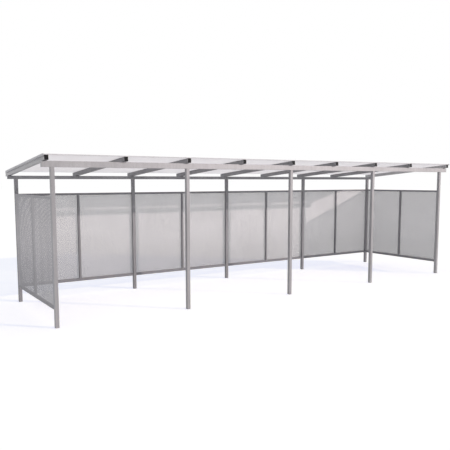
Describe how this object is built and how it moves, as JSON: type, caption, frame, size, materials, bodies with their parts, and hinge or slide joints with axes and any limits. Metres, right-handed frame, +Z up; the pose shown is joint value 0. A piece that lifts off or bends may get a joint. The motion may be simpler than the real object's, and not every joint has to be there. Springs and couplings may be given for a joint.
{
  "type": "open-front bike shelter",
  "caption": "Open-front bike shelter: single slope roof on square posts, beams and rafters, with perforated steel panels closing the back and both ends.",
  "frame": {"origin": "centre of the bounding box on the floor plane", "axes": "+X along the row of bays, +Y from the open front to the back wall, +Z up"},
  "size_m": [9.371, 2.5068, 2.5742],
  "materials": {
    "steel": "galvanised, matte",
    "frame_steel": "galvanised, matte",
    "infill_steel": "perforated, galvanised",
    "cap_plastic": "moulded, black",
    "roof_panel": "translucent white",
    "trim_aluminium": "mill finish, pale"
  },
  "bodies": {
    "root": {"front_post_1": "steel", "back_post_1": "steel", "front_post_2": "steel", "back_post_2": "steel", "front_post_3": "steel", "back_post_3": "steel", "front_post_4": "steel", "back_post_4": "steel", "front_post_5": "steel", "back_post_5": "steel", "front_beam": "steel", "back_beam": "steel", "rafter_1": "steel", "rafter_2": "steel", "rafter_3": "steel", "rafter_4": "steel", "rafter_5": "steel", "rafter_6": "steel", "rafter_7": "steel", "rafter_8": "steel", "rafter_9": "steel", "rafter_caps": "cap_plastic", "roof_sheet_1": "roof_panel", "roof_sheet_2": "roof_panel", "roof_sheet_3": "roof_panel", "roof_sheet_4": "roof_panel", "roof_trim": "trim_aluminium", "back_wall_1_frame": "frame_steel", "back_wall_1_infill_a": "infill_steel", "back_wall_1_infill_b": "infill_steel", "back_wall_2_frame": "frame_steel", "back_wall_2_infill_a": "infill_steel", "back_wall_2_infill_b": "infill_steel", "back_wall_3_frame": "frame_steel", "back_wall_3_infill_a": "infill_steel", "back_wall_3_infill_b": "infill_steel", "back_wall_4_frame": "frame_steel", "back_wall_4_infill_a": "infill_steel", "back_wall_4_infill_b": "infill_steel", "left_wall_frame": "frame_steel", "left_wall_infill_a": "infill_steel", "left_wall_infill_b": "infill_steel", "right_wall_frame": "frame_steel", "right_wall_infill_a": "infill_steel", "right_wall_infill_b": "infill_steel"}
  },
  "joints": []
}
